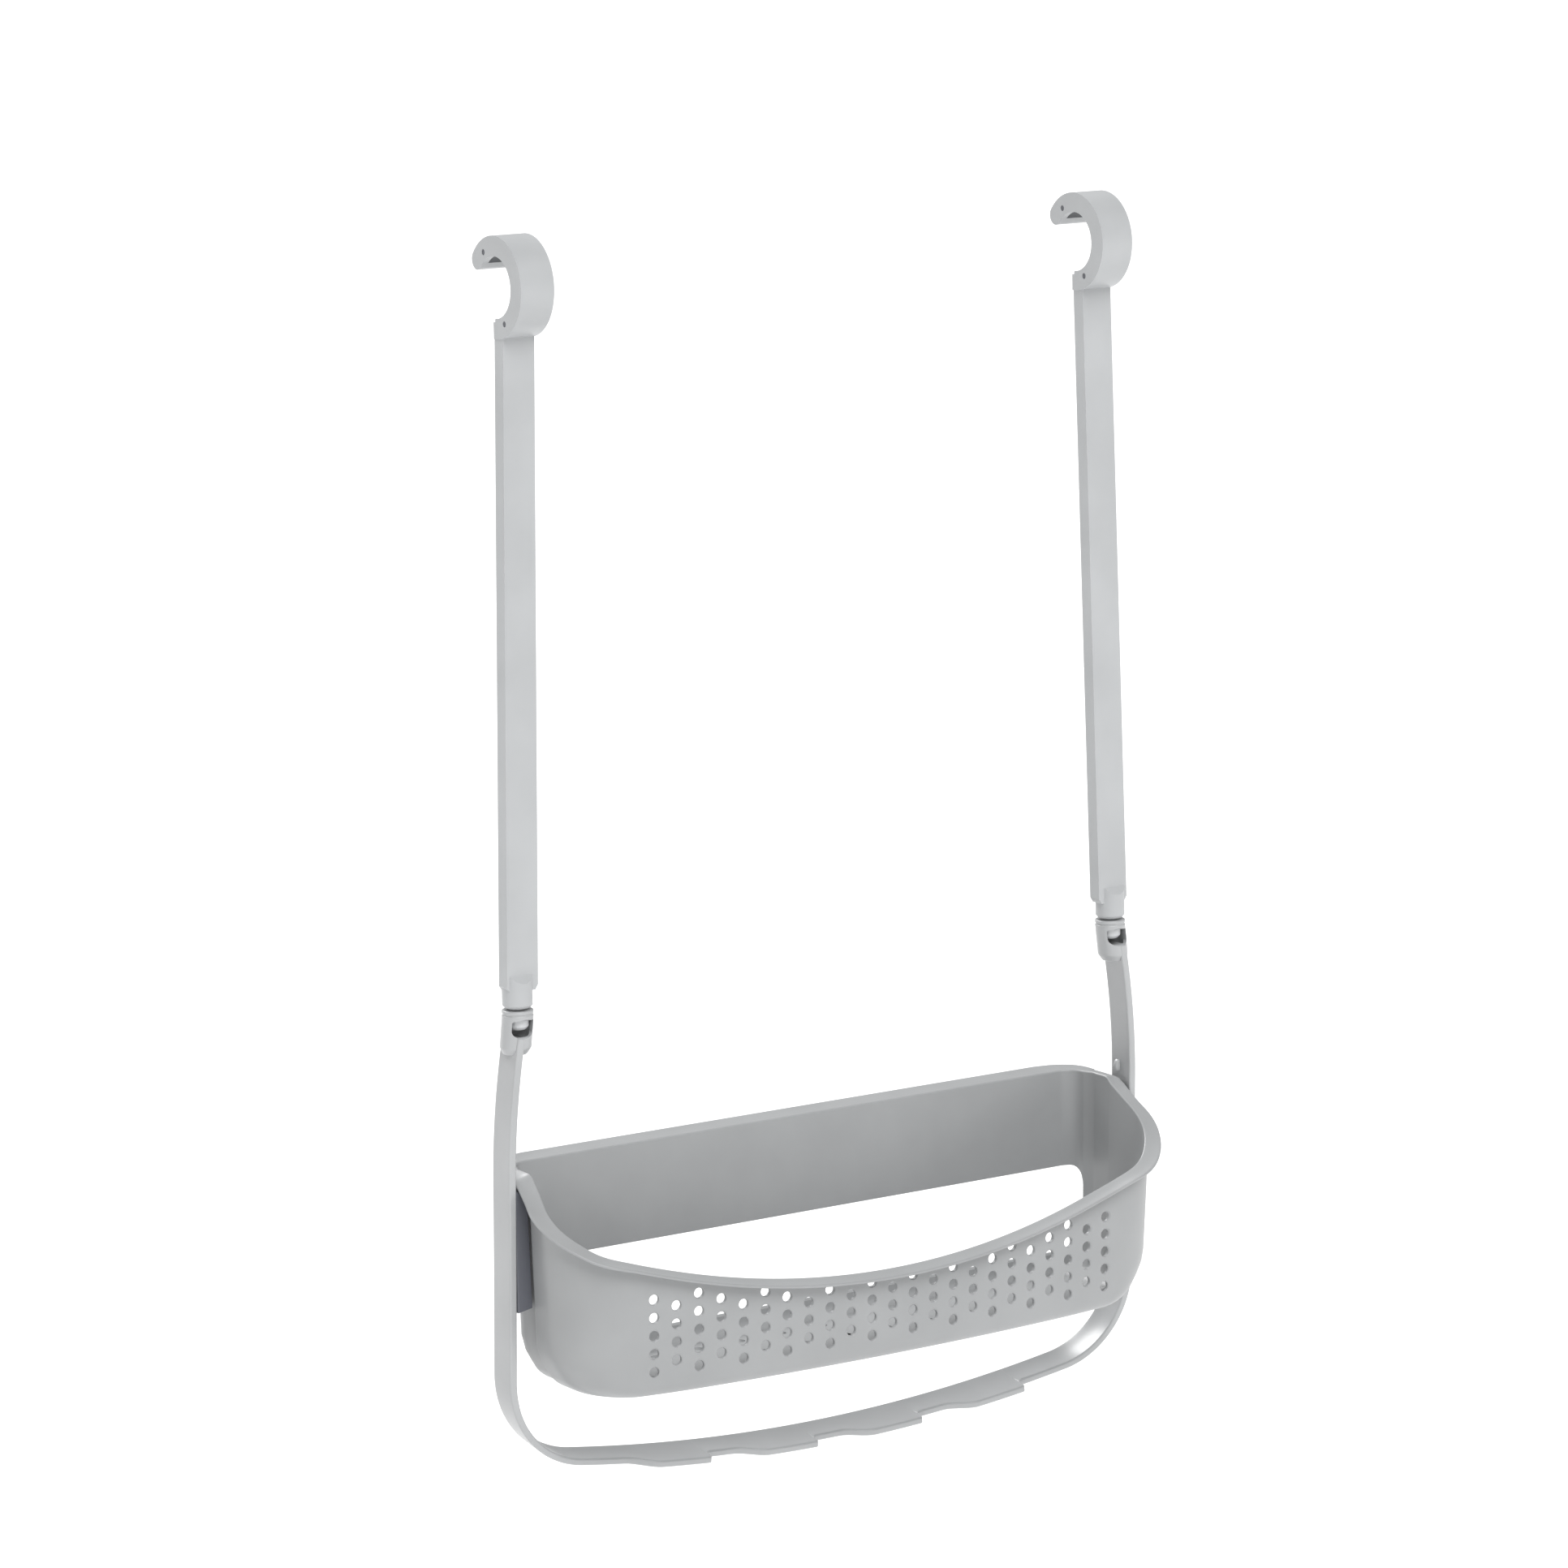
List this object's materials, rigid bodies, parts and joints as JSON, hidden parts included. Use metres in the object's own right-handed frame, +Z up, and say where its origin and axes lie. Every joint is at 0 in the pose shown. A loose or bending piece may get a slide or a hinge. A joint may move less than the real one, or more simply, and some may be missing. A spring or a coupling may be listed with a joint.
{
  "type": "hanging shower basket",
  "caption": "Perforated basket on a U-shaped bail that hangs from a rail on swivelling hook arms, with small hanging lobes along the bottom bar.",
  "frame": {"origin": "on the axis of the rail that the hooks hang on, midway between the two hooks", "axes": "+X right along the rail, +Y towards the wall behind (the hooks open that way), +Z up"},
  "size_m": [0.336, 0.0926, 0.5548],
  "materials": {
    "shell_plastic": "satin light grey moulding",
    "bracket_plastic": "satin dark grey moulding",
    "pin_plastic": "polished light grey acetal",
    "liner_rubber": "matt dark grey elastomer",
    "dowel_plastic": "matt dark grey rod"
  },
  "bodies": {
    "bail": {"bail_frame": "shell_plastic", "basket": "shell_plastic", "side_bracket_left": "bracket_plastic", "side_bracket_right": "bracket_plastic"},
    "arm_left": {"hook_arm_left": "shell_plastic", "swivel_pin_left": "pin_plastic", "hook_liner_left": "liner_rubber", "liner_dowels_left": "dowel_plastic"},
    "arm_right": {"hook_arm_right": "shell_plastic", "swivel_pin_right": "pin_plastic", "hook_liner_right": "liner_rubber", "liner_dowels_right": "dowel_plastic"}
  },
  "joints": [
    {"name": "arm_swivel_left", "type": "hinge", "parent": "bail", "child": "arm_left", "pos_m": [-0.1582, -0.002, -0.3115], "axis": [0, 0, 1], "continuous": true},
    {"name": "arm_swivel_right", "type": "hinge", "parent": "bail", "child": "arm_right", "pos_m": [0.1582, -0.002, -0.3115], "axis": [0, 0, 1], "continuous": true}
  ]
}
